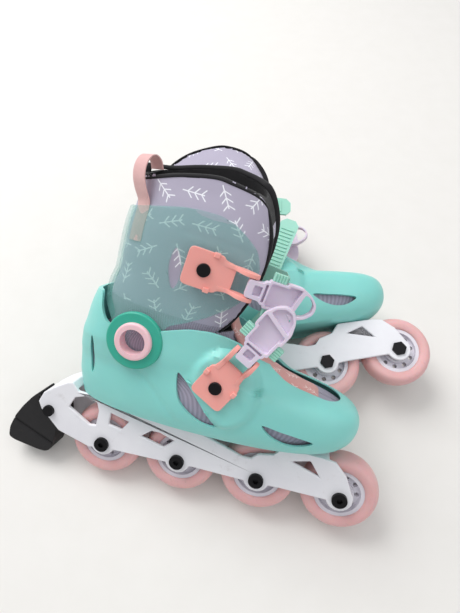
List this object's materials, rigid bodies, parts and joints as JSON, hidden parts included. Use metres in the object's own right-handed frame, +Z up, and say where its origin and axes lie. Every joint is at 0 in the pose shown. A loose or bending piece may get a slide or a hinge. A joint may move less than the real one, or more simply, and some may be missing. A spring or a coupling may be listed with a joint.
{
  "type": "inline skates",
  "caption": "Pair of adjustable kids' inline skates lying down, hard shells with hinged cuffs, padded liners, ratchet buckles, in-line wheels and a heel brake.",
  "frame": {"origin": "floor level, under the centre of the pair's bounding box", "axes": "+X towards the toes, the long way of the pair; +Y from the wheels of the right skate to its collar; +Z up from the floor"},
  "size_m": [0.4406, 0.4066, 0.2404],
  "materials": {
    "white_nylon": "satin moulded nylon",
    "pink_polyurethane": "semi-gloss polyurethane",
    "pearl_hub": "moulded",
    "bearing_steel": "ground steel",
    "black_steel": "black oxide",
    "mint_shell": "satin moulded",
    "clear_mint_cuff": "translucent moulded",
    "lilac_mesh": "knitted mesh",
    "lilac_fabric": "padded lycra",
    "pink_fabric": "padded fabric",
    "dark_mint": "satin moulded",
    "pale_pink": "gloss moulded",
    "salmon": "moulded",
    "lilac": "moulded",
    "pale_mint": "moulded",
    "pink_webbing": "woven webbing",
    "black_rubber": "moulded rubber"
  },
  "bodies": {
    "left_boot": {"left_frame": "white_nylon", "left_shell": "mint_shell", "left_liner_boot": "lilac_mesh", "left_tongue": "pink_fabric", "left_pivot_discs": "dark_mint", "left_pivot_rings": "pale_pink", "left_bearings": "bearing_steel", "left_axle_bolts": "black_steel", "left_instep_base": "salmon", "left_shell_fasteners": "black_steel"},
    "left_wheel_1": {"left_tyre_1": "pink_polyurethane", "left_hub_1": "pearl_hub"},
    "left_wheel_2": {"left_tyre_2": "pink_polyurethane", "left_hub_2": "pearl_hub"},
    "left_wheel_3": {"left_tyre_3": "pink_polyurethane", "left_hub_3": "pearl_hub"},
    "left_wheel_4": {"left_tyre_4": "pink_polyurethane", "left_hub_4": "pearl_hub"},
    "left_upper": {"left_cuff": "clear_mint_cuff", "left_liner_collar": "lilac_fabric", "left_ankle_base": "salmon", "left_cuff_fasteners": "black_steel", "left_pull_loop": "pink_webbing"},
    "left_instep_arm": {"left_instep_lever": "lilac"},
    "left_instep_catch": {"left_instep_pawl": "pale_mint"},
    "left_instep_ratchet": {"left_instep_strap": "pale_mint"},
    "left_ankle_arm": {"left_ankle_lever": "lilac"},
    "left_ankle_catch": {"left_ankle_pawl": "pale_mint"},
    "left_ankle_ratchet": {"left_ankle_strap": "pale_mint"},
    "right_boot": {"right_frame": "white_nylon", "right_shell": "mint_shell", "right_liner_boot": "lilac_mesh", "right_tongue": "pink_fabric", "right_pivot_discs": "dark_mint", "right_pivot_rings": "pale_pink", "right_bearings": "bearing_steel", "right_axle_bolts": "black_steel", "right_instep_base": "salmon", "right_shell_fasteners": "black_steel", "right_brake_pad": "black_rubber", "right_brake_screw": "black_steel"},
    "right_wheel_1": {"right_tyre_1": "pink_polyurethane", "right_hub_1": "pearl_hub"},
    "right_wheel_2": {"right_tyre_2": "pink_polyurethane", "right_hub_2": "pearl_hub"},
    "right_wheel_3": {"right_tyre_3": "pink_polyurethane", "right_hub_3": "pearl_hub"},
    "right_wheel_4": {"right_tyre_4": "pink_polyurethane", "right_hub_4": "pearl_hub"},
    "right_upper": {"right_cuff": "clear_mint_cuff", "right_liner_collar": "lilac_fabric", "right_ankle_base": "salmon", "right_cuff_fasteners": "black_steel", "right_pull_loop": "pink_webbing"},
    "right_instep_arm": {"right_instep_lever": "lilac"},
    "right_instep_catch": {"right_instep_pawl": "pale_mint"},
    "right_instep_ratchet": {"right_instep_strap": "pale_mint"},
    "right_ankle_arm": {"right_ankle_lever": "lilac"},
    "right_ankle_catch": {"right_ankle_pawl": "pale_mint"},
    "right_ankle_ratchet": {"right_ankle_strap": "pale_mint"}
  },
  "joints": [
    {"name": "right_skate_lift", "type": "slide", "parent": "left_boot", "child": "right_boot", "axis": [0, 0, 1], "range_m": [0, 0.3]},
    {"name": "left_wheel_1_spin", "type": "hinge", "parent": "left_boot", "child": "left_wheel_1", "pos_m": [-0.04013, -0.06974, 0.02177], "axis": [0.0643, 0.2234, -0.9726], "continuous": true},
    {"name": "left_wheel_2_spin", "type": "hinge", "parent": "left_boot", "child": "left_wheel_2", "pos_m": [0.03463, -0.05834, 0.02933], "axis": [0.0643, 0.2234, -0.9726], "continuous": true},
    {"name": "left_wheel_3_spin", "type": "hinge", "parent": "left_boot", "child": "left_wheel_3", "pos_m": [0.10939, -0.04694, 0.03689], "axis": [0.0643, 0.2234, -0.9726], "continuous": true},
    {"name": "left_wheel_4_spin", "type": "hinge", "parent": "left_boot", "child": "left_wheel_4", "pos_m": [0.18415, -0.03554, 0.04446], "axis": [0.0643, 0.2234, -0.9726], "continuous": true},
    {"name": "left_cuff_flex", "type": "hinge", "parent": "left_boot", "child": "left_upper", "pos_m": [-0.02784, 0.05079, 0.05027], "axis": [0.0643, 0.2234, -0.9726], "range_deg": [-4, 12], "stiffness_Nm_per_rad": 25},
    {"name": "left_instep_lever_turn", "type": "hinge", "parent": "left_boot", "child": "left_instep_arm", "pos_m": [0.069, 0.08623, 0.00672], "axis": [-0.9165, 0.3988, 0.031], "range_deg": [0, 168]},
    {"name": "left_instep_pawl_press", "type": "hinge", "parent": "left_instep_arm", "child": "left_instep_catch", "pos_m": [0.0765, 0.10313, 0.0111], "axis": [0.9165, -0.3988, -0.031], "range_deg": [0, 12], "stiffness_Nm_per_rad": 0.05},
    {"name": "left_instep_strap_swivel", "type": "hinge", "parent": "left_boot", "child": "left_instep_ratchet", "pos_m": [0.04696, 0.02846, 0.09825], "axis": [-0.0643, -0.2234, 0.9726], "range_deg": [-10, 10]},
    {"name": "left_ankle_lever_turn", "type": "hinge", "parent": "left_upper", "child": "left_ankle_arm", "pos_m": [0.05462, 0.13415, 0.0275], "axis": [0.0401, 0.9733, 0.2262], "range_deg": [0, 168]},
    {"name": "left_ankle_pawl_press", "type": "hinge", "parent": "left_ankle_arm", "child": "left_ankle_catch", "pos_m": [0.0729, 0.13227, 0.03234], "axis": [-0.0401, -0.9733, -0.2262], "range_deg": [0, 12], "stiffness_Nm_per_rad": 0.05},
    {"name": "left_ankle_strap_swivel", "type": "hinge", "parent": "left_upper", "child": "left_ankle_ratchet", "pos_m": [0.00874, 0.11601, 0.11367], "axis": [0.1444, -0.2296, 0.9625], "range_deg": [-10, 10]},
    {"name": "right_wheel_1_spin", "type": "hinge", "parent": "right_boot", "child": "right_wheel_1", "pos_m": [-0.11413, -0.12107, 0.03159], "axis": [0.1831, 0.6616, -0.7272], "continuous": true},
    {"name": "right_wheel_2_spin", "type": "hinge", "parent": "right_boot", "child": "right_wheel_2", "pos_m": [-0.04013, -0.13812, 0.03471], "axis": [0.1831, 0.6616, -0.7272], "continuous": true},
    {"name": "right_wheel_3_spin", "type": "hinge", "parent": "right_boot", "child": "right_wheel_3", "pos_m": [0.03386, -0.15518, 0.03783], "axis": [0.1831, 0.6616, -0.7272], "continuous": true},
    {"name": "right_wheel_4_spin", "type": "hinge", "parent": "right_boot", "child": "right_wheel_4", "pos_m": [0.10786, -0.17223, 0.04094], "axis": [0.1831, 0.6616, -0.7272], "continuous": true},
    {"name": "right_cuff_flex", "type": "hinge", "parent": "right_boot", "child": "right_upper", "pos_m": [-0.06567, -0.04261, 0.11518], "axis": [0.1831, 0.6616, -0.7272], "range_deg": [-4, 12], "stiffness_Nm_per_rad": 25},
    {"name": "right_instep_lever_turn", "type": "hinge", "parent": "right_boot", "child": "right_instep_arm", "pos_m": [0.01887, -0.09536, 0.16617], "axis": [0.7424, -0.5779, -0.3388], "range_deg": [0, 168]},
    {"name": "right_instep_pawl_press", "type": "hinge", "parent": "right_instep_arm", "child": "right_instep_catch", "pos_m": [0.03111, -0.08628, 0.17752], "axis": [-0.7424, 0.5779, 0.3388], "range_deg": [0, 12], "stiffness_Nm_per_rad": 0.05},
    {"name": "right_instep_strap_swivel", "type": "hinge", "parent": "right_boot", "child": "right_instep_ratchet", "pos_m": [0.01266, -0.04562, 0.06774], "axis": [0.1831, 0.6616, -0.7272], "range_deg": [-10, 10]},
    {"name": "right_ankle_lever_turn", "type": "hinge", "parent": "right_upper", "child": "right_ankle_arm", "pos_m": [0.02321, -0.04949, 0.19466], "axis": [-0.3355, -0.6532, -0.6788], "range_deg": [0, 168]},
    {"name": "right_ankle_pawl_press", "type": "hinge", "parent": "right_ankle_arm", "child": "right_ankle_catch", "pos_m": [0.04111, -0.05373, 0.18988], "axis": [0.3355, 0.6532, 0.6788], "range_deg": [0, 12], "stiffness_Nm_per_rad": 0.05},
    {"name": "right_ankle_strap_swivel", "type": "hinge", "parent": "right_upper", "child": "right_ankle_ratchet", "pos_m": [0.00274, 0.02538, 0.13273], "axis": [0.3712, 0.5706, -0.7326], "range_deg": [-10, 10]}
  ],
  "couplings": [
    {"joint": "left_ankle_lever_turn", "follows": "left_instep_lever_turn", "ratio": 1},
    {"joint": "right_ankle_lever_turn", "follows": "right_instep_lever_turn", "ratio": 1}
  ]
}
